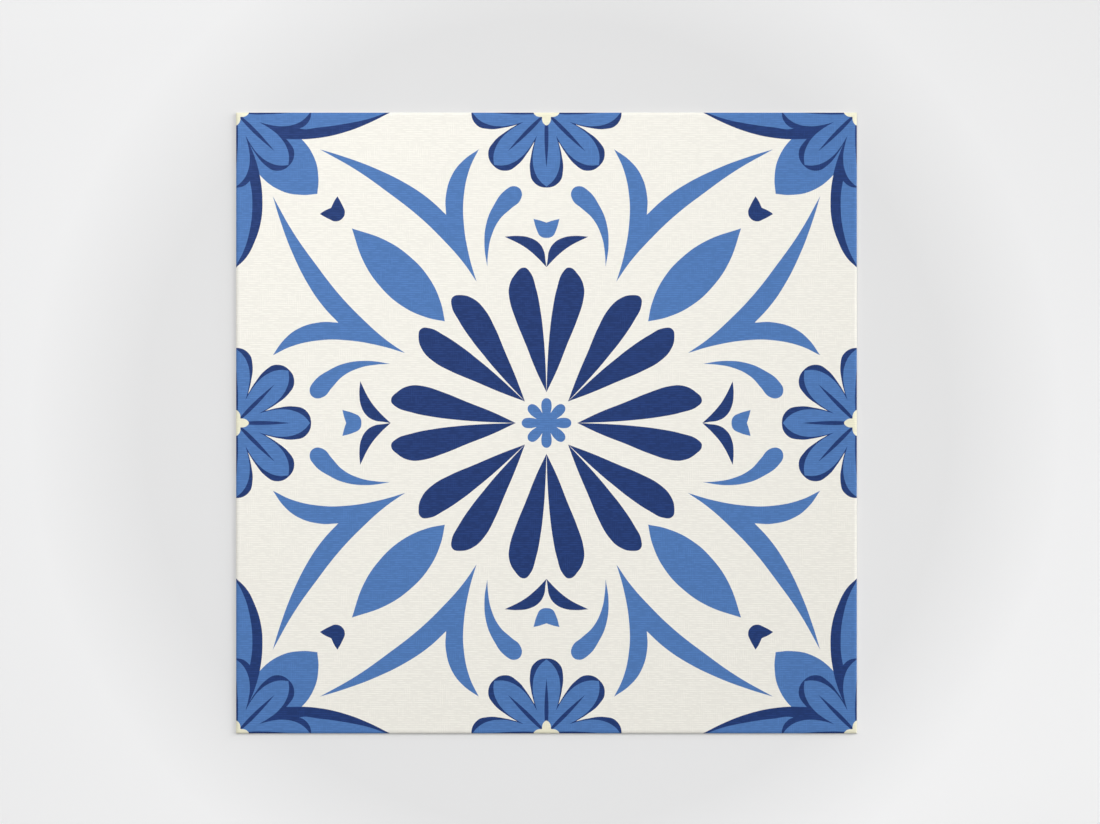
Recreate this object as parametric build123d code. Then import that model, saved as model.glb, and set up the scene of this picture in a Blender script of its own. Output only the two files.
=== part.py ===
from build123d import *
import os

# Self-adhesive vinyl tile, lying face up on its backing paper. Millimetres, +Z up.
# The origin is the middle of the paper's underside, so the whole sheet stands on z = 0.

# Driving dimensions
tile_side = 300.0  # both plan sides of the square, cut edge to cut edge
vinyl_thickness = 1.5  # printed film, vinyl body and adhesive coat together
liner_thickness = 0.12  # release paper that is peeled off before the tile is laid
rim_width = 1.6  # how far in from the cut edge the die rolls the face over
rim_drop = 0.7  # how far the rolled face falls by the time it meets the cut edge

# Values that follow from them
half_side = tile_side / 2
vinyl_bottom = liner_thickness


def rolled_section():
    """Section across the vinyl: square lower corners, and a quarter ellipse at each upper one."""
    shoulder_height = vinyl_thickness - rim_drop
    flat_reach = half_side - rim_width
    outline = [
        Line((-half_side, 0), (half_side, 0)),
        Line((half_side, 0), (half_side, shoulder_height)),
        EllipticalCenterArc((flat_reach, shoulder_height), rim_width, rim_drop, 0, arc_size=90),
        Line((flat_reach, vinyl_thickness), (-flat_reach, vinyl_thickness)),
        EllipticalCenterArc((-flat_reach, shoulder_height), rim_width, rim_drop, 90, arc_size=90),
        Line((-half_side, shoulder_height), (-half_side, 0)),
    ]
    return make_face(Curve() + outline)


def rolled_slab():
    """The section run the full length of the tile, with plain square ends."""
    return extrude(Plane.XZ * rolled_section(), amount=half_side, both=True)


def vinyl_tile():
    """Two crossing slabs in common, so that the rolled rim turns each corner on a mitre."""
    slab = rolled_slab()
    crossing_slab = Rot(0, 0, 90) * slab
    return Pos(0, 0, vinyl_bottom) * (slab & crossing_slab)


def release_liner():
    """The paper, cut by the same die as the vinyl and flush with it on all four edges."""
    return extrude(Rectangle(tile_side, tile_side), amount=liner_thickness)


# Each piece in a file of its own
pieces = {"vinyl_tile": vinyl_tile(), "release_liner": release_liner()}
os.makedirs("parts", exist_ok=True)
for node, piece in pieces.items():
    export_step(piece, f"parts/{node}.step")
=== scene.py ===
"""Self-adhesive vinyl tile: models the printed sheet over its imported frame, with its studio."""

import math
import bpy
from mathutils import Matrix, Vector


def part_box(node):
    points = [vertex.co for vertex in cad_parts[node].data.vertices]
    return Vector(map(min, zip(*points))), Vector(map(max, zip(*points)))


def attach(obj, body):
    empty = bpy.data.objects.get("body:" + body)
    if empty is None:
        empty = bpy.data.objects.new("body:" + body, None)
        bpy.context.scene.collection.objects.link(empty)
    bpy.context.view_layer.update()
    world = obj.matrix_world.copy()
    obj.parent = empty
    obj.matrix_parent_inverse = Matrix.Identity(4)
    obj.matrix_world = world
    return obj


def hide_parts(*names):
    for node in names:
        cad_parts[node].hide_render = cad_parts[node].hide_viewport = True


bl_info = {
    "name": "Self-adhesive vinyl tile",
    "version": (1, 0, 0),
    "blender": (4, 5, 0),
    "location": "3D View > Sidebar > Vinyl Tile",
    "description": "Models a printed, linen-embossed vinyl tile with its release paper and a plain studio",
    "category": "Object",
}

import bpy
from bpy.props import FloatProperty, FloatVectorProperty, IntProperty, PointerProperty
from mathutils import Vector

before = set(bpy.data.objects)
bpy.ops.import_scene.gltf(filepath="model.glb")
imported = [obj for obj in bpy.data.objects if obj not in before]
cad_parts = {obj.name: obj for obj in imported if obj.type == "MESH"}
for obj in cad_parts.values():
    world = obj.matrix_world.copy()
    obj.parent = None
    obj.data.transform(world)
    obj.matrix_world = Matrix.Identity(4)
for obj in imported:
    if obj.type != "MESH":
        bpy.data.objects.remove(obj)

MM = 0.001
TIP = True  # third value of an outline point where the curve turns sharply

# The print's outlines, in millimetres from the tile's middle, +Y towards the far edge.
# One of each shape; the rest are turned or mirrored copies.
ROSETTE_AXIS_PETAL = (
    (0, 14.9, TIP), (5.1, 25.6), (10, 38), (14.9, 50.1), (17.9, 60), (18, 66), (15.2, 71.8),
    (10.9, 75.1), (8.1, 73.1), (5.05, 65), (3, 55), (1.5, 43), (0.55, 30),
)
ROSETTE_CORNER_PETAL = (
    (10.4, 10.4, TIP), (15, 22.6), (20.1, 34.6), (25, 46.2), (30, 55), (35.5, 60.1), (41.5, 61.8),
    (45.4, 60.7), (45.8, 56.5), (42.7, 50), (35.5, 39.2), (31.2, 33.8), (25.1, 26.4),
)
SPREAD_LEAF = (
    (0, 75.3, TIP), (5, 80.5), (11, 85.3), (20.2, 90, TIP), (14, 90.4), (8, 89.5), (3.6, 86.9),
    (1.2, 83), (0.5, 78.5),
)
BUD_HALF = ((0, 89.4), (3, 90.3), (4.6, 93), (6.3, 98.6, TIP), (3, 97.8), (0, 96.8, TIP))
COMMA_DROP = (
    (28.6, 75.5, TIP), (30, 86), (28.9, 97), (25.6, 104.9), (20, 112.4), (15.4, 114.4), (12.2, 112.2),
    (12.7, 107.6), (17, 103.7), (22.5, 98.5), (26.7, 90), (28.2, 82),
)
FORKED_LEAF = (
    (32.7, 132.2, TIP), (37, 123.2), (39.9, 110), (40, 97), (37.2, 80), (33.8, 68.3, TIP),
    (40, 77.3), (50, 88.6), (62, 100.1), (76, 111), (92, 122.3), (109.5, 132.2, TIP), (98, 128.7),
    (82, 122.7), (66, 114.6), (56, 107.6), (48.5, 100.6, TIP), (48.7, 109), (45.6, 119.9), (40, 127),
)
ALMOND_HALF = ((49.1, 49.1, TIP), (51, 58), (56.6, 69.9), (66, 80.4), (78, 88.4), (94, 94, TIP))
SMALL_BUD_HALF = (
    (98.7, 98.7), (97.4, 101.8), (98.5, 105), (100.95, 109.5, TIP), (102.3, 107.6), (104, 104, TIP),
)
CORNER_LEAF_HALF = (
    (110.7, 110.7, TIP), (110.15, 118), (112.1, 128), (119.4, 138.2), (130, 145, TIP), (145, 145, TIP),
)
# The long leaves along the far and near edges lean more than those along the side edges
LEVEL_LEAF = (
    (75, 150.3, TIP), (86, 144.8), (98, 140.3), (110, 137.7), (121, 137.1), (129, 138), (140, 146, TIP),
    (140, 152, TIP), (75, 152, TIP),
)
LEVEL_LEAF_FACE = (
    (76.4, 150.3, TIP), (85, 147.2), (97, 144.6), (110, 142.8), (119, 142.2), (125, 146, TIP),
    (125, 152, TIP), (76, 152, TIP),
)
UPRIGHT_LEAF = (
    (74.8, 150.3, TIP), (80, 145), (88, 140.8), (97, 138), (107, 137.2), (119, 138.4), (130, 141.5),
    (140, 146, TIP), (140, 152, TIP), (75, 152, TIP),
)
UPRIGHT_LEAF_FACE = (
    (75.6, 150.3, TIP), (82, 146.8), (91, 143.8), (105, 142.1), (117, 143.3), (125, 146, TIP),
    (125, 152, TIP), (76, 152, TIP),
)
# Half petals, from the notch beside them to the tip, with the petal pointing along +X
FLORET_PETAL = ((4.85, 2, TIP), (8.8, 2.5), (11.2, 1.7), (12, 0))
FLOWER_PETAL = ((14.2, 5.9, TIP), (20.2, 7.3), (28, 8), (33.6, 6.2), (36.3, 0))
FLOWER_PETAL_FACE = ((11.1, 4.6, TIP), (17, 6.1), (23, 6.65), (29, 5.5), (33.2, 3), (35.8, 0, TIP))
FLOWER_VEIN = ((2, 0.4, TIP), (7, 0.85), (13, 0.95), (20, 0.6), (26.5, 0, TIP))
FLOWER_EYE = ((2.15, 2.15, TIP), (4, 2), (5.5, 1.2), (6.2, 0))

FLOWER_PETAL_COUNT = 8
FLORET_PETAL_COUNT = 8
EYE_LOBE_COUNT = 4

# Painter's order of the print, from the bottom up. Shapes that overlap no other are in the lowest layer.
LAYERS = ("lowest", "long leaf", "long leaf face", "petal", "petal face", "vein", "eye")

# The film that carries the print while it is cut into the sheet, in millimetres
FILM_HEIGHT = 3  # of its lowest layer, well above the sheet
LAYER_STEP = 0.2
KNIFE_DEPTH = 5  # from the film down through the sheet's face, rim included
RAY_START = 10  # above the film's highest layer
MERGE_DISTANCE = 0.002  # corners that the cuts leave closer together than this become one

FLAT_CUTS = 24  # across the flat face each way, into cells small enough to be filled evenly
RIM_SMOOTHING = math.radians(30)  # edges that turn by less than this are shaded smooth
LEVEL = 0.5  # upright part of the normal above which a face lies level
SAME_HEIGHT = 0.001 * MM  # faces closer in height than this are taken to be flush

# Texture layout: the face and its folded-out edges fill a square, and the back a strip under it
TEXTURE_SPAN = 0.95
TEXTURE_TOP = 0.995
BACK_STRIP_LOW = 0.006
BACK_STRIP_WIDTH = 0.026

# How much each ink's colour is darkened in the gaps of the emboss and lightened on its threads: painted
# shade and painted highlight
CREAM_PAINTED_SHADING = 0.035
BLUE_PAINTED_SHADING = 0.085
NAVY_PAINTED_SHADING = 0.16

# Sheen of the wear layer over the inks, and of the floor
GAP_ROUGHNESS = 0.62
THREAD_ROUGHNESS = 0.5
FLOOR_ROUGHNESS = 0.9
MATT_SPECULAR = 0.2  # of both

# Threads of the emboss
WANDER = 0.4 * MM  # how far a thread strays to either side
WANDER_SCALE = 70.0  # of the noise that it strays by
SLUB_LENGTH = 4 * MM  # along a thread from one thick stretch to the next
FADED_THREAD = 0.1  # share of its height that a thread keeps between its thick stretches
THREAD_OFFSET = 7.31  # in the noise, so that neighbouring threads differ
ROW_SEED = 3.0
COLUMN_SEED = 11.0
PATCH_SCALE = 110.0  # of the patches where the upright threads show
FEW_UPRIGHTS = 0.08  # share of the upright threads in the emboss between those patches
MANY_UPRIGHTS = 0.55  # and in them

# Cut edge
DIE_MARK_SCALE = (2400, 2400, 200)  # much finer along the edge than up it
DIE_MARK_DEPTH = 0.012 * MM
GRAIN_SCALE = 3200.0
GRAIN_COLOUR = (0.74, 0.735, 0.72)  # limestone in the vinyl
GRAIN_STRENGTH = 0.6
CUT_SHADES = (0.82, 1.08)  # darkest and lightest, as shares of the vinyl's colour
CUT_ROUGHNESS = (0.45, 0.7)
ADHESIVE_ENDS = 0.14 * MM  # height of the pure adhesive coat above the vinyl's underside
VINYL_STARTS = 0.2 * MM

# Paper and adhesive coat
PAPER_FIBRE = 0.6 * MM
PAPER_ROUGHNESS = 0.62
COAT_FIBRE = 1.5 * MM
COAT_ROUGHNESS = 0.3
FIBRE_HEIGHT = 0.015 * MM
FIBRE_SHADES = (0.92, 1.05)  # darkest and lightest, as shares of the paper's or coat's colour
FIBRE_ROUGHENING = 0.15
CLOUD_SCALE = 45.0
CLOUD_SHARE = 0.4

# Floor, in metres
FLOOR_SIDE = 4
PAINTED_SHADE_RADIUS = 0.195  # the floor has its near colour, darker as painted shade round the tile, up to here from the tile's middle
PALE_RADIUS = 0.25  # and its far colour from here on
FALLOFF = (0.15, -0.5, 0)  # direction in which the lamps' light falls off across the floor
EVENED_REACH = 0.12  # of a place's dot product with that direction
EVENING = 0.12  # share by which the floor's colour makes up for the falloff at that reach

# Lamps, in metres from the tile's middle
OVERHEAD_ANGLE = math.radians(40)
SOFTBOX_PLACE = (-0.25, 0.35, 0.7)
SOFTBOX_SIDE = 0.5
KEY_PLACE = (3.75, 1.75, 1.8)
KEY_SIDE = 3.3

# The photograph's scale and where its middle lies on the tile
IMAGE_WIDTH = 1100
PIXELS_PER_MM = 2.07
CAMERA_RIGHT = 1.7 * MM
CAMERA_UP = 5.31 * MM
SENSOR_WIDTH = 36  # millimetres, as the lens is


class VinylTileSizes(bpy.types.PropertyGroup):
    """Sizes of the sheet and of its emboss."""

    rim_width: FloatProperty(
        name="Rim width", description="How far in from the cut edge the face is rolled over",
        default=1.6 * MM, min=0.1 * MM, max=5 * MM, unit="LENGTH", precision=5,
    )
    rim_drop: FloatProperty(
        name="Rim drop", description="How far the rolled face has fallen where it meets the cut edge",
        default=0.7 * MM, min=0.05 * MM, max=1.2 * MM, unit="LENGTH", precision=5,
    )
    rim_rings: IntProperty(
        name="Rim rings", description="Steps in which the rolled rim is turned", default=8, min=2, max=24,
    )
    curve_steps: IntProperty(
        name="Curve steps", description="Straight pieces between two points of a printed outline",
        default=6, min=2, max=16,
    )
    thread_pitch: FloatProperty(
        name="Thread pitch", description="Distance between neighbouring threads of the linen emboss",
        default=1.06 * MM, min=0.3 * MM, max=4 * MM, unit="LENGTH", precision=5,
    )
    emboss_depth: FloatProperty(
        name="Emboss depth", description="Height of an embossed thread above the gaps",
        default=0.045 * MM, min=0, max=0.2 * MM, unit="LENGTH", precision=6,
    )


class VinylTileInks(bpy.types.PropertyGroup):
    """Colours of the print and of the unprinted sides."""

    ground: FloatVectorProperty(
        name="Ground", description="Cream ground of the print", subtype="COLOR",
        default=(0.866, 0.846, 0.78), min=0, max=1,
    )
    blue: FloatVectorProperty(
        name="Blue", description="Lighter blue of the leaves, drops and petal faces", subtype="COLOR",
        default=(0.0735, 0.188, 0.464), min=0, max=1,
    )
    navy: FloatVectorProperty(
        name="Navy", description="Dark blue of the rosette, petals and veins", subtype="COLOR",
        default=(0.0092, 0.0365, 0.165), min=0, max=1,
    )
    eye: FloatVectorProperty(
        name="Eye", description="Warm cream of the flowers' middles", subtype="COLOR",
        default=(0.84, 0.815, 0.63), min=0, max=1,
    )
    core: FloatVectorProperty(
        name="Core", description="Filled vinyl, seen on the cut edge", subtype="COLOR",
        default=(0.61, 0.6, 0.575), min=0, max=1,
    )
    adhesive: FloatVectorProperty(
        name="Adhesive", description="Adhesive coat under the vinyl, seen on the cut edge", subtype="COLOR",
        default=(0.58, 0.54, 0.43), min=0, max=1,
    )
    paper: FloatVectorProperty(
        name="Paper", description="Release paper on the back", subtype="COLOR",
        default=(0.73, 0.7, 0.62), min=0, max=1,
    )


class VinylTileStudio(bpy.types.PropertyGroup):
    """Floor, lamps and camera."""

    # Near the tile the floor is given a darker colour than far off: painted shade round the tile
    floor: FloatVectorProperty(
        name="Floor", description="Floor's colour near the tile", subtype="COLOR",
        default=(0.77, 0.77, 0.772), min=0, max=1,
    )
    floor_far: FloatVectorProperty(
        name="Floor far off", description="Floor's colour away from the tile", subtype="COLOR",
        default=(0.88, 0.88, 0.883), min=0, max=1,
    )
    sky: FloatProperty(
        name="Room light", description="Strength of the even light", default=0.28, min=0, max=2,
    )
    overhead: FloatProperty(
        name="Overhead", description="Strength of the broad light from straight above", default=0.38,
        min=0, max=10,
    )
    softbox: FloatProperty(
        name="Softbox", description="Power of the soft lamp at the upper left", default=2.95, min=0, max=50,
        unit="POWER",
    )
    key: FloatProperty(
        name="Key", description="Power of the low lamp that casts the tile's shadow", default=165,
        min=0, max=800, unit="POWER",
    )
    lens: FloatProperty(
        name="Lens", description="Camera's focal length", default=85, min=20, max=300, unit="CAMERA",
    )


def select_only(*pieces):
    """Deselects everything, then selects these objects with the first one active."""
    if bpy.context.object and bpy.context.object.mode != "OBJECT":
        bpy.ops.object.mode_set(mode="OBJECT")
    bpy.ops.object.select_all(action="DESELECT")
    for piece in pieces:
        piece.select_set(True)
    bpy.context.view_layer.objects.active = pieces[0]


def joined(*pieces):
    """One object of several, in the first one's place."""
    select_only(*pieces)
    bpy.ops.object.join()
    return bpy.context.object


def select_faces(piece, test):
    """Opens the piece in edit mode with exactly the faces selected that pass the test."""
    select_only(piece)
    mesh = piece.data
    bpy.context.tool_settings.mesh_select_mode = (False, False, True)
    mesh.vertices.foreach_set("select", [False] * len(mesh.vertices))
    mesh.edges.foreach_set("select", [False] * len(mesh.edges))
    mesh.polygons.foreach_set("select", [bool(test(face)) for face in mesh.polygons])
    bpy.ops.object.mode_set(mode="EDIT")


def mirrored_outline(half, mirror):
    """Closed outline from its half: the points on the mirror line are kept once."""
    other = [mirror(point) for point in reversed(half) if mirror(point)[:2] != point[:2]]
    return [*half, *other]


def across_axis(point):
    """Outline point mirrored in the tile's upright middle line."""
    return (-point[0], *point[1:])


def across_diagonal(point):
    """Outline point mirrored in the tile's rising diagonal."""
    return (point[1], point[0], *point[2:])


def across_petal(point):
    """Outline point mirrored in the middle line of a petal that points along +X."""
    return (point[0], -point[1], *point[2:])


def scalloped(half_petal, count):
    """Closed outline of a ring of petals, each shown as a half petal from its notch to its tip."""
    petal = [across_petal(point) for point in half_petal] + list(reversed(half_petal[1:-1]))
    outline = []
    for turn in range(count):
        cosine, sine = math.cos(math.tau * turn / count), math.sin(math.tau * turn / count)
        for x, y, *mark in petal:
            outline.append((cosine * x - sine * y, sine * x + cosine * y, *mark))
    return outline


def flat_shape(name, outline, ink, layer="lowest"):
    """Smooth closed curve through the outline's points, filled, as a flat mesh on its print layer."""
    curve = bpy.data.curves.new(name, "CURVE")
    curve.dimensions = "2D"
    curve.fill_mode = "BOTH"
    curve.resolution_u = bpy.context.scene.vinyl_tile_sizes.curve_steps
    spline = curve.splines.new("BEZIER")
    spline.bezier_points.add(len(outline) - 1)
    spline.use_cyclic_u = True
    for point, (x, y, *mark) in zip(spline.bezier_points, outline):
        point.co = (x * MM, y * MM, 0)
        point.handle_left_type = point.handle_right_type = "VECTOR" if mark else "AUTO"
    shape = bpy.data.objects.new(name, curve)
    bpy.context.collection.objects.link(shape)
    select_only(shape)
    bpy.ops.object.convert(target="MESH")
    shape = bpy.context.object
    shape.data.materials.append(ink)
    shape.location.z = (FILM_HEIGHT + LAYER_STEP * LAYERS.index(layer)) * MM
    bpy.ops.object.transform_apply()
    return shape


def copied(piece, turn=0.0, move=(0, 0), stretch=(1, 1)):
    """Copy with its own mesh, stretched and turned about the tile's middle, then moved."""
    select_only(piece)
    bpy.ops.object.duplicate()
    bpy.ops.transform.resize(value=(*stretch, 1), center_override=(0, 0, 0))
    bpy.ops.transform.rotate(value=turn, orient_axis="Z", center_override=(0, 0, 0))
    bpy.ops.transform.translate(value=(move[0] * MM, move[1] * MM, 0))
    bpy.ops.object.transform_apply()
    return bpy.context.object


def printed_flower(inks):
    """Eight-petalled flower about the tile's middle, ready to be copied to the edges and corners."""
    petal_ring = scalloped(FLOWER_PETAL, FLOWER_PETAL_COUNT)
    petals = flat_shape("flower petals", petal_ring, inks["navy"], "petal")
    face_ring = scalloped(FLOWER_PETAL_FACE, FLOWER_PETAL_COUNT)
    faces = flat_shape("flower petal faces", face_ring, inks["blue"], "petal face")
    vein_outline = mirrored_outline(FLOWER_VEIN, across_petal)
    vein = flat_shape("flower vein", vein_outline, inks["navy"], "vein")
    turns = [math.tau * petal / FLOWER_PETAL_COUNT for petal in range(1, FLOWER_PETAL_COUNT)]
    other_veins = [copied(vein, turn) for turn in turns]
    eye = flat_shape("flower eye", scalloped(FLOWER_EYE, EYE_LOBE_COUNT), inks["eye"], "eye")
    return joined(petals, faces, vein, *other_veins, eye)


def print_film(inks):
    """The whole ornament as flat shapes above the sheet, a layer step apart in painter's order."""
    half_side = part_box("vinyl_tile")[1].x / MM
    octant = joined(
        flat_shape("rosette axis petal", ROSETTE_AXIS_PETAL, inks["navy"]),
        flat_shape("rosette corner petal", ROSETTE_CORNER_PETAL, inks["navy"]),
        flat_shape("spread leaf", SPREAD_LEAF, inks["navy"]),
        flat_shape("comma drop", COMMA_DROP, inks["blue"]),
        flat_shape("forked leaf", FORKED_LEAF, inks["blue"]),
    )
    flower = printed_flower(inks)
    quarter = joined(
        octant,
        copied(octant, stretch=(-1, 1)),
        flat_shape("bud", mirrored_outline(BUD_HALF, across_axis), inks["blue"]),
        flat_shape("almond", mirrored_outline(ALMOND_HALF, across_diagonal), inks["blue"]),
        flat_shape("small bud", mirrored_outline(SMALL_BUD_HALF, across_diagonal), inks["navy"]),
        flat_shape("corner leaf", mirrored_outline(CORNER_LEAF_HALF, across_diagonal), inks["blue"]),
        copied(flower, move=(0, half_side)),
        copied(flower, move=(half_side, half_side)),
    )
    upright = [across_diagonal(point) for point in UPRIGHT_LEAF]
    upright_face = [across_diagonal(point) for point in UPRIGHT_LEAF_FACE]
    leaves = joined(
        flat_shape("level leaf", LEVEL_LEAF, inks["navy"], "long leaf"),
        flat_shape("level leaf face", LEVEL_LEAF_FACE, inks["blue"], "long leaf face"),
        flat_shape("upright leaf", upright, inks["navy"], "long leaf"),
        flat_shape("upright leaf face", upright_face, inks["blue"], "long leaf face"),
    )
    bpy.data.objects.remove(flower)
    floret = flat_shape("floret", scalloped(FLORET_PETAL, FLORET_PETAL_COUNT), inks["blue"])
    quarter_turns = [copied(quarter, math.radians(90 * turn)) for turn in (1, 2, 3)]
    mirrored_leaves = [copied(leaves, stretch=signs) for signs in ((-1, 1), (1, -1), (-1, -1))]
    film = joined(floret, quarter, *quarter_turns, leaves, *mirrored_leaves)
    film.name = "print film"
    return film


def rolled_face(sizes, ground):
    """Plane at the shoulder, inset ring by ring so that it climbs the rolled rim to the flat face."""
    low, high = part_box("vinyl_tile")
    bpy.ops.object.select_all(action="DESELECT")
    bpy.ops.mesh.primitive_plane_add(size=high.x - low.x, location=(0, 0, high.z - sizes.rim_drop))
    sheet = bpy.context.object
    bpy.ops.object.transform_apply()
    sheet.data.materials.append(ground)
    bpy.context.tool_settings.mesh_select_mode = (False, False, True)
    bpy.ops.object.mode_set(mode="EDIT")
    inward, climbed = 0.0, 0.0
    for ring in range(1, sizes.rim_rings + 1):
        turn = math.radians(90) * ring / sizes.rim_rings
        next_inward = sizes.rim_width * (1 - math.cos(turn))
        next_climbed = sizes.rim_drop * math.sin(turn)
        bpy.ops.mesh.inset(thickness=next_inward - inward, depth=next_climbed - climbed)
        inward, climbed = next_inward, next_climbed
    bpy.ops.mesh.subdivide(number_cuts=FLAT_CUTS)
    bpy.ops.object.mode_set(mode="OBJECT")
    return sheet


def cut_along(sheet, film):
    """Cuts the film's outlines through the sheet, as a knife pressed straight down would."""
    knife = copied(film)
    select_faces(knife, lambda face: True)
    bpy.ops.mesh.region_to_loop()
    bpy.ops.mesh.extrude_edges_move(TRANSFORM_OT_translate={"value": (0, 0, -KNIFE_DEPTH * MM)})
    bpy.ops.object.mode_set(mode="OBJECT")
    select_faces(knife, lambda face: abs(face.normal.z) > LEVEL)
    bpy.ops.mesh.delete(type="FACE")
    bpy.ops.object.mode_set(mode="OBJECT")
    sheet = joined(sheet, knife)
    select_faces(sheet, lambda face: face.material_index > 0)
    bpy.ops.mesh.intersect(mode="SELECT_UNSELECT", separate_mode="NONE", solver="EXACT")
    bpy.ops.object.mode_set(mode="OBJECT")
    select_faces(sheet, lambda face: face.material_index > 0)
    bpy.ops.mesh.delete(type="FACE")
    bpy.ops.mesh.select_all(action="SELECT")
    bpy.ops.mesh.remove_doubles(threshold=MERGE_DISTANCE * MM)
    bpy.ops.mesh.quads_convert_to_tris()
    bpy.ops.object.mode_set(mode="OBJECT")
    return sheet


def ink_print(sheet, film):
    """Gives each cut region the ink of the topmost shape that lies over it."""
    slots = {material: index for index, material in enumerate(sheet.data.materials)}
    bpy.context.view_layer.update()
    for face in sheet.data.polygons:
        above = Vector((face.center.x, face.center.y, RAY_START * MM))
        hit, _, _, shape_face = film.ray_cast(above, Vector((0, 0, -1)))
        if hit:
            ink = film.data.materials[film.data.polygons[shape_face].material_index]
            face.material_index = slots[ink]
    if len({face.material_index for face in sheet.data.polygons}) < len(slots):
        raise RuntimeError("The print is incomplete: one of its inks is nowhere on the sheet")


def close_sheet(sheet, sizes, core, back):
    """Draws the cut edge down from the shoulder and closes the back."""
    low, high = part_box("vinyl_tile")
    shoulder = high.z - sizes.rim_drop
    select_faces(sheet, lambda face: True)
    bpy.ops.mesh.region_to_loop()
    bpy.ops.mesh.extrude_edges_move(TRANSFORM_OT_translate={"value": (0, 0, low.z - shoulder)})
    bpy.ops.mesh.edge_face_add()
    bpy.ops.mesh.select_all(action="SELECT")
    bpy.ops.mesh.quads_convert_to_tris()
    bpy.ops.mesh.normals_make_consistent(inside=False)
    bpy.ops.mesh.select_all(action="DESELECT")
    bpy.context.tool_settings.mesh_select_mode = (False, True, False)
    bpy.ops.mesh.select_non_manifold()
    bpy.ops.object.mode_set(mode="OBJECT")
    if any(edge.select for edge in sheet.data.edges):
        raise RuntimeError("The sheet isn't closed")
    core_slot = len(sheet.data.materials)
    back_slot = core_slot + 1
    sheet.data.materials.append(core)
    sheet.data.materials.append(back)
    for face in sheet.data.polygons:
        if face.center.z < shoulder - SAME_HEIGHT:
            face.material_index = back_slot if abs(face.normal.z) > LEVEL else core_slot


def unfold(sheet, sizes):
    """Texture layout: the face with the cut edges folded out round it, and the hidden back as a strip."""
    low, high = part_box("vinyl_tile")
    half_side = high.x
    flat_reach = half_side - sizes.rim_width
    scale = TEXTURE_SPAN / (2 * (half_side + high.z - low.z))

    def folded_out(place, z):
        """A place across the sheet, moved outwards by as much as the section has dropped there."""
        beyond = (abs(place) - flat_reach) / sizes.rim_width
        if beyond <= 0:
            return place
        drop = high.z - z
        on_rim = beyond < 0.999
        if on_rim:
            # Near a corner the rim of the other edge can lie lower, which doesn't count here
            drop = min(drop, sizes.rim_drop * (1 - math.sqrt(1 - beyond**2)))
        return place + math.copysign(drop, place)

    mesh = sheet.data
    back = len(mesh.materials) - 1
    layer = mesh.uv_layers.new(name="OFBake")
    for face in mesh.polygons:
        for corner in face.loop_indices:
            x, y, z = mesh.vertices[mesh.loops[corner].vertex_index].co
            if face.material_index == back:
                across = 0.5 + x * scale
                along = BACK_STRIP_LOW + (0.5 + y / (2 * half_side)) * BACK_STRIP_WIDTH
            else:
                across = 0.5 + folded_out(x, z) * scale
                along = TEXTURE_TOP - TEXTURE_SPAN / 2 + folded_out(y, z) * scale
            layer.data[corner].uv = (across, along)


def finish_shading(sheet):
    """Smooths the rolled rim, and keeps the flat face's normals straight up."""
    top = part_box("vinyl_tile")[1].z
    select_only(sheet)
    bpy.ops.object.shade_smooth_by_angle(angle=RIM_SMOOTHING)
    select_faces(sheet, lambda face: face.normal.z > LEVEL and face.center.z > top - SAME_HEIGHT)
    bpy.ops.transform.resize(value=(1, 1, 0), center_override=(0, 0, top))
    bpy.ops.mesh.region_to_loop()
    bpy.ops.mesh.mark_sharp()
    bpy.ops.object.mode_set(mode="OBJECT")


def add(tree, kind, inputs=None, **settings):
    """Adds a node, sets its properties, and feeds its inputs from values or other nodes' sockets."""
    node = tree.nodes.new(kind)
    for name, value in settings.items():
        setattr(node, name, value)
    for socket, value in (inputs or {}).items():
        if isinstance(value, bpy.types.NodeSocket):
            tree.links.new(value, node.inputs[socket])
        else:
            node.inputs[socket].default_value = value
    return node


def math_node(tree, operation, *values):
    """Output of a Math node on these values or sockets."""
    return add(tree, "ShaderNodeMath", dict(enumerate(values)), operation=operation).outputs[0]


def ranged(tree, value, low, high, to_low=0.0, to_high=1.0):
    """A value brought from one range to another, and held at its ends.

    Noise stays near 0.5, so the ranges that are taken of it are narrow.
    """
    inputs = {"Value": value, "From Min": low, "From Max": high, "To Min": to_low, "To Max": to_high}
    return add(tree, "ShaderNodeMapRange", inputs).outputs["Result"]


def blended(tree, factor, first, second):
    """Colour between two, each a plain colour or another node's socket."""
    inputs = {0: factor}
    for socket, colour in ((6, first), (7, second)):
        inputs[socket] = colour if isinstance(colour, bpy.types.NodeSocket) else (*colour, 1)
    return add(tree, "ShaderNodeMix", inputs, data_type="RGBA").outputs[2]


def shades(colour, darker, lighter):
    """A darker and a lighter shade of a colour, by these factors."""
    return [[min(1.0, channel * factor) for channel in colour] for factor in (darker, lighter)]


def new_material(name):
    """Empty node material with its output, coordinates and Principled shader."""
    material = bpy.data.materials.new(name)
    material.use_nodes = True
    tree = material.node_tree
    tree.nodes.clear()
    output = add(tree, "ShaderNodeOutputMaterial")
    shader = add(tree, "ShaderNodeBsdfPrincipled")
    tree.links.new(shader.outputs[0], output.inputs["Surface"])
    place = add(tree, "ShaderNodeTexCoord").outputs["Object"]
    return material, tree, shader, place


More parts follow.
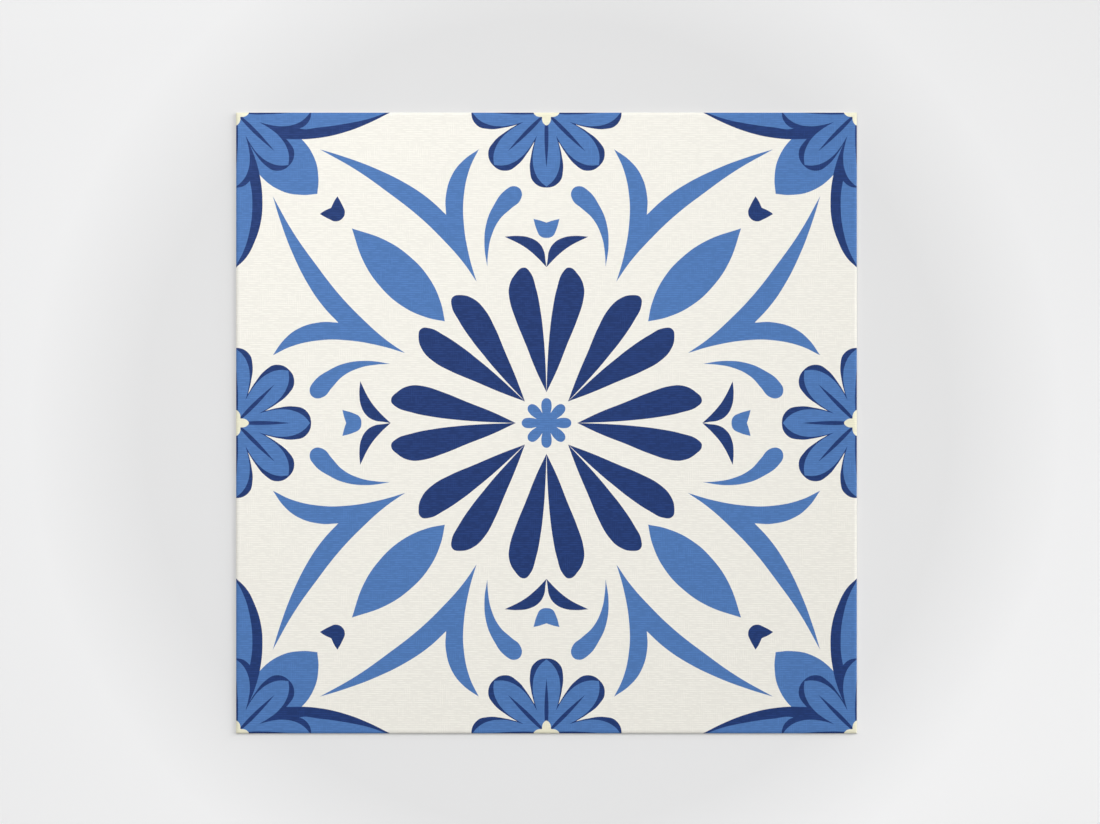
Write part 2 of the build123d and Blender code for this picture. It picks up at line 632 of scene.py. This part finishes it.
def linen_emboss():
    """Shader group: threads both ways with slubs of uneven strength, as rolled into the wear layer, and how
    high they stand, which the inks take as painted shade and painted highlight.
    """
    group = bpy.data.node_groups.new("Linen emboss", "ShaderNodeTree")
    group.interface.new_socket("Place", in_out="INPUT", socket_type="NodeSocketVector")
    group.interface.new_socket("Thread Pitch", in_out="INPUT", socket_type="NodeSocketFloat")
    group.interface.new_socket("Height", in_out="OUTPUT", socket_type="NodeSocketFloat")
    group.interface.new_socket("Thread Rise And Painted Shade", in_out="OUTPUT", socket_type="NodeSocketFloat")
    given = add(group, "NodeGroupInput")
    place, pitch = given.outputs["Place"], given.outputs["Thread Pitch"]
    axes = add(group, "ShaderNodeSeparateXYZ", {0: place})
    clouds = {"Vector": place, "Scale": WANDER_SCALE, "Detail": 1.0}
    uneven = add(group, "ShaderNodeTexNoise", clouds).outputs[0]
    wander = ranged(group, uneven, 0.0, 1.0, -WANDER, WANDER)

    def threads(across, along, seed):
        """Ridges of the threads that run along one axis, each with its own thick and thin stretches."""
        count = math_node(group, "DIVIDE", math_node(group, "ADD", across, wander), pitch)
        wave = math_node(group, "COSINE", math_node(group, "MULTIPLY", count, math.tau))
        ridge = math_node(group, "MULTIPLY_ADD", wave, -0.5, 0.5)
        thread = math_node(group, "MULTIPLY", math_node(group, "FLOOR", count), THREAD_OFFSET)
        stretch = math_node(group, "MULTIPLY", along, 1 / SLUB_LENGTH)
        seat = add(group, "ShaderNodeCombineXYZ", {0: stretch, 1: thread, 2: seed})
        slub = add(group, "ShaderNodeTexNoise", {"Vector": seat.outputs[0], "Scale": 1.0, "Detail": 1.5})
        strength = ranged(group, slub.outputs[0], 0.4, 0.62, FADED_THREAD, 1.0)
        return math_node(group, "MULTIPLY", ridge, strength)

    rows = threads(axes.outputs["Y"], axes.outputs["X"], ROW_SEED)
    columns = threads(axes.outputs["X"], axes.outputs["Y"], COLUMN_SEED)
    # The upright threads show only here and there, as in real linen with a heavier weft
    patches = add(group, "ShaderNodeTexNoise", {"Vector": place, "Scale": PATCH_SCALE, "Detail": 2.0})
    column_share = ranged(group, patches.outputs[0], 0.5, 0.68, FEW_UPRIGHTS, MANY_UPRIGHTS)
    rows_part = math_node(group, "MULTIPLY", rows, math_node(group, "SUBTRACT", 1.0, column_share))
    height = math_node(group, "MULTIPLY_ADD", columns, column_share, rows_part)
    # How high the threads stand, from 0 to 1: the inks darken their colour by it in the gaps as painted
    # shade, lighten it on the threads as painted highlight, and set their roughness by it
    thread_rise_and_painted_shade = ranged(group, height, 0.0, 0.6)
    result = add(group, "NodeGroupOutput")
    group.links.new(height, result.inputs["Height"])
    group.links.new(thread_rise_and_painted_shade, result.inputs["Thread Rise And Painted Shade"])
    return group


def ink_material(name, colour, linen, painted_shading):
    """Ink under the embossed wear layer: its colour is a touch darker in the gaps between the threads, as
    painted shade, and lighter on them, as painted highlight.
    """
    sizes = bpy.context.scene.vinyl_tile_sizes
    material, tree, shader, place = new_material(name)
    inputs = {"Place": place, "Thread Pitch": sizes.thread_pitch}
    emboss = add(tree, "ShaderNodeGroup", inputs, node_tree=linen)
    # Painted shade in the gaps and painted highlight on the threads, in the ink's colour
    dark, light = shades(colour, 1 - painted_shading, 1 + painted_shading)
    thread_rise_and_painted_shade = emboss.outputs["Thread Rise And Painted Shade"]
    tree.links.new(blended(tree, thread_rise_and_painted_shade, dark, light), shader.inputs["Base Color"])
    roughness = ranged(tree, thread_rise_and_painted_shade, 0.0, 1.0, GAP_ROUGHNESS, THREAD_ROUGHNESS)
    tree.links.new(roughness, shader.inputs["Roughness"])
    shader.inputs["Specular IOR Level"].default_value = MATT_SPECULAR
    bump = add(tree, "ShaderNodeBump", {"Height": emboss.outputs["Height"], "Distance": sizes.emboss_depth})
    tree.links.new(bump.outputs["Normal"], shader.inputs["Normal"])
    return material


def cut_vinyl(colours):
    """Cut edge: filled vinyl with the die's upright marks and pale grains, above the adhesive coat."""
    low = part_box("vinyl_tile")[0]
    material, tree, shader, place = new_material("cut vinyl")
    marks = add(tree, "ShaderNodeMapping", {"Vector": place, "Scale": DIE_MARK_SCALE})
    streaks = add(tree, "ShaderNodeTexNoise", {"Vector": marks.outputs[0], "Scale": 1.0, "Detail": 3.0})
    streak = ranged(tree, streaks.outputs[0], 0.35, 0.65)
    grains = add(tree, "ShaderNodeTexVoronoi", {"Vector": place, "Scale": GRAIN_SCALE})
    grain = ranged(tree, grains.outputs["Distance"], 0.12, 0.3, GRAIN_STRENGTH, 0.0)
    vinyl = blended(tree, streak, *shades(colours.core, *CUT_SHADES))
    filled = blended(tree, grain, vinyl, GRAIN_COLOUR)
    height = add(tree, "ShaderNodeSeparateXYZ", {0: place}).outputs["Z"]
    above_adhesive = ranged(tree, height, low.z + ADHESIVE_ENDS, low.z + VINYL_STARTS)
    tree.links.new(blended(tree, above_adhesive, colours.adhesive, filled), shader.inputs["Base Color"])
    tree.links.new(ranged(tree, streak, 0.0, 1.0, *CUT_ROUGHNESS), shader.inputs["Roughness"])
    bump = add(tree, "ShaderNodeBump", {"Height": streak, "Distance": DIE_MARK_DEPTH})
    tree.links.new(bump.outputs["Normal"], shader.inputs["Normal"])
    return material


def fibrous(name, colour, fibre_size, roughness):
    """Paper, or a coat that was rolled on against it: fibres at random angles, and faint clouds."""
    material, tree, shader, place = new_material(name)
    mesh_of_fibres = {"Vector": place, "Scale": 1 / fibre_size, "Detail": 4.0, "Distortion": 1.5}
    fibres = add(tree, "ShaderNodeTexNoise", mesh_of_fibres).outputs[0]
    faint_clouds = {"Vector": place, "Scale": CLOUD_SCALE, "Detail": 3.0}
    clouds = add(tree, "ShaderNodeTexNoise", faint_clouds).outputs[0]
    clouds_part = math_node(tree, "MULTIPLY", clouds, CLOUD_SHARE)
    mottling = math_node(tree, "MULTIPLY_ADD", fibres, 1 - CLOUD_SHARE, clouds_part)
    shade = ranged(tree, mottling, 0.4, 0.6)
    tree.links.new(blended(tree, shade, *shades(colour, *FIBRE_SHADES)), shader.inputs["Base Color"])
    roughened = ranged(tree, fibres, 0.3, 0.7, roughness, roughness + FIBRE_ROUGHENING)
    tree.links.new(roughened, shader.inputs["Roughness"])
    bump = add(tree, "ShaderNodeBump", {"Height": fibres, "Distance": FIBRE_HEIGHT})
    tree.links.new(bump.outputs["Normal"], shader.inputs["Normal"])
    return material


def aimed_lamp(name, place, side, power):
    """Square area lamp that faces the tile."""
    bpy.ops.object.light_add(type="AREA", location=place)
    lamp = bpy.context.object
    lamp.name = name
    lamp.rotation_mode = "QUATERNION"
    lamp.rotation_quaternion = (-Vector(place)).to_track_quat("-Z", "Y")
    lamp.data.size = side
    lamp.data.energy = power
    lamp.visible_camera = False


def pale_floor(studio):
    """Floor whose colour is evened out round the tile against the lamps' falloff, as painted light and
    shade, and is darker near the tile, a painted pool of shade, and paler farther away.
    """
    bpy.ops.object.select_all(action="DESELECT")
    bpy.ops.mesh.primitive_plane_add(size=FLOOR_SIDE)
    floor = bpy.context.object
    floor.name = "floor"
    material, tree, shader, place = new_material("pale floor")
    distance = add(tree, "ShaderNodeVectorMath", {0: place}, operation="LENGTH").outputs["Value"]
    # Darker near the tile as painted shade, paler beyond
    far_off = ranged(tree, distance, PAINTED_SHADE_RADIUS, PALE_RADIUS)
    colour = blended(tree, far_off, studio.floor, studio.floor_far)
    along_falloff = {0: place, 1: FALLOFF}
    lean = add(tree, "ShaderNodeVectorMath", along_falloff, operation="DOT_PRODUCT").outputs["Value"]
    evening = ranged(tree, lean, -EVENED_REACH, EVENED_REACH, 1 - EVENING, 1 + EVENING)
    evened = add(tree, "ShaderNodeVectorMath", {0: colour, "Scale": evening}, operation="SCALE")
    tree.links.new(evened.outputs[0], shader.inputs["Base Color"])
    shader.inputs["Roughness"].default_value = FLOOR_ROUGHNESS
    shader.inputs["Specular IOR Level"].default_value = MATT_SPECULAR
    floor.data.materials.append(material)


def even_room(studio):
    """Even light from the room, whose walls the camera sees in the floor's far colour."""
    world = bpy.context.scene.world or bpy.data.worlds.new("studio")
    bpy.context.scene.world = world
    world.use_nodes = True
    tree = world.node_tree
    tree.nodes.clear()
    light = add(tree, "ShaderNodeBackground", {"Color": (1, 1, 1, 1), "Strength": studio.sky})
    seen = add(tree, "ShaderNodeBackground", {"Color": (*studio.floor_far, 1), "Strength": 1.0})
    camera_ray = add(tree, "ShaderNodeLightPath").outputs["Is Camera Ray"]
    mix = add(tree, "ShaderNodeMixShader", {0: camera_ray, 1: light.outputs[0], 2: seen.outputs[0]})
    output = add(tree, "ShaderNodeOutputWorld")
    tree.links.new(mix.outputs[0], output.inputs["Surface"])


def photo_camera(studio):
    """Camera straight above the tile, at the distance that gives the photograph's field of view."""
    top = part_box("vinyl_tile")[1].z
    field_width = IMAGE_WIDTH / PIXELS_PER_MM * MM
    distance = field_width / SENSOR_WIDTH * studio.lens
    bpy.ops.object.camera_add(location=(CAMERA_RIGHT, CAMERA_UP, top + distance))
    camera = bpy.context.object
    camera.data.sensor_width = SENSOR_WIDTH
    camera.data.lens = studio.lens
    bpy.context.scene.camera = camera


class VINYLTILE_OT_printed_sheet(bpy.types.Operator):
    """Model the vinyl sheet: rolled rim, ornament cut into its face, cut edge and back"""

    bl_idname = "vinyltile.printed_sheet"
    bl_label = "Printed vinyl sheet"

    def execute(self, context):
        sizes, colours = context.scene.vinyl_tile_sizes, context.scene.vinyl_tile_inks
        linen = linen_emboss()
        ground = ink_material("cream ground", colours.ground, linen, CREAM_PAINTED_SHADING)
        inks = {
            "blue": ink_material("blue ink", colours.blue, linen, BLUE_PAINTED_SHADING),
            "navy": ink_material("navy ink", colours.navy, linen, NAVY_PAINTED_SHADING),
            "eye": ink_material("warm cream ink", colours.eye, linen, CREAM_PAINTED_SHADING),
        }
        film = print_film(inks)
        sheet = cut_along(rolled_face(sizes, ground), film)
        ink_print(sheet, film)
        bpy.data.objects.remove(film)
        back = fibrous("adhesive coat", colours.adhesive, COAT_FIBRE, COAT_ROUGHNESS)
        close_sheet(sheet, sizes, cut_vinyl(colours), back)
        finish_shading(sheet)
        unfold(sheet, sizes)
        sheet.name = sheet.data.name = "printed_vinyl_sheet"
        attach(sheet, "root")
        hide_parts("vinyl_tile")
        return {"FINISHED"}


class VINYLTILE_OT_release_paper(bpy.types.Operator):
    """Give the release paper on the back its fibrous paper finish"""

    bl_idname = "vinyltile.release_paper"
    bl_label = "Release paper"

    def execute(self, context):
        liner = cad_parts["release_liner"]
        liner.data.materials.clear()
        colour = context.scene.vinyl_tile_inks.paper
        paper = fibrous("release paper", colour, PAPER_FIBRE, PAPER_ROUGHNESS)
        liner.data.materials.append(paper)
        return {"FINISHED"}


class VINYLTILE_OT_studio(bpy.types.Operator):
    """Set up the pale floor, the soft lamps and the camera straight above the tile"""

    bl_idname = "vinyltile.studio"
    bl_label = "Studio"

    def execute(self, context):
        studio = context.scene.vinyl_tile_studio
        pale_floor(studio)
        bpy.ops.object.light_add(type="SUN", location=(0, 0, 2))
        overhead = context.object
        overhead.name = "overhead"
        overhead.data.angle = OVERHEAD_ANGLE
        overhead.data.energy = studio.overhead
        aimed_lamp("softbox", SOFTBOX_PLACE, SOFTBOX_SIDE, studio.softbox)
        aimed_lamp("key", KEY_PLACE, KEY_SIDE, studio.key)
        even_room(studio)
        photo_camera(studio)
        context.scene.view_settings.view_transform = "Standard"
        return {"FINISHED"}


class VINYLTILE_PT_panel(bpy.types.Panel):
    """Lists the tile's sizes, colours and building steps"""

    bl_label = "Vinyl Tile"
    bl_idname = "VINYLTILE_PT_panel"
    bl_space_type = "VIEW_3D"
    bl_region_type = "UI"
    bl_category = "Vinyl Tile"

    def draw(self, context):
        for group_name in SETTINGS:
            group = getattr(context.scene, group_name)
            box = self.layout.box()
            for name in group.__annotations__:
                box.prop(group, name)
        for step in STEPS:
            self.layout.operator(step.bl_idname)


SETTINGS = {
    "vinyl_tile_sizes": VinylTileSizes,
    "vinyl_tile_inks": VinylTileInks,
    "vinyl_tile_studio": VinylTileStudio,
}
STEPS = (VINYLTILE_OT_printed_sheet, VINYLTILE_OT_release_paper, VINYLTILE_OT_studio)


def register():
    """Adds the tile's settings, building steps and panel to Blender."""
    for cls in (*SETTINGS.values(), *STEPS, VINYLTILE_PT_panel):
        bpy.utils.register_class(cls)
    for name, group in SETTINGS.items():
        setattr(bpy.types.Scene, name, PointerProperty(type=group))


def unregister():
    """Takes them out again, the last first."""
    for name in SETTINGS:
        delattr(bpy.types.Scene, name)
    for cls in reversed((*SETTINGS.values(), *STEPS, VINYLTILE_PT_panel)):
        bpy.utils.unregister_class(cls)


def main():
    """Builds the scene."""
    register()
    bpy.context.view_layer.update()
    bpy.ops.vinyltile.printed_sheet()
    bpy.ops.vinyltile.release_paper()
    bpy.ops.vinyltile.studio()


if __name__ == "__main__":
    main()
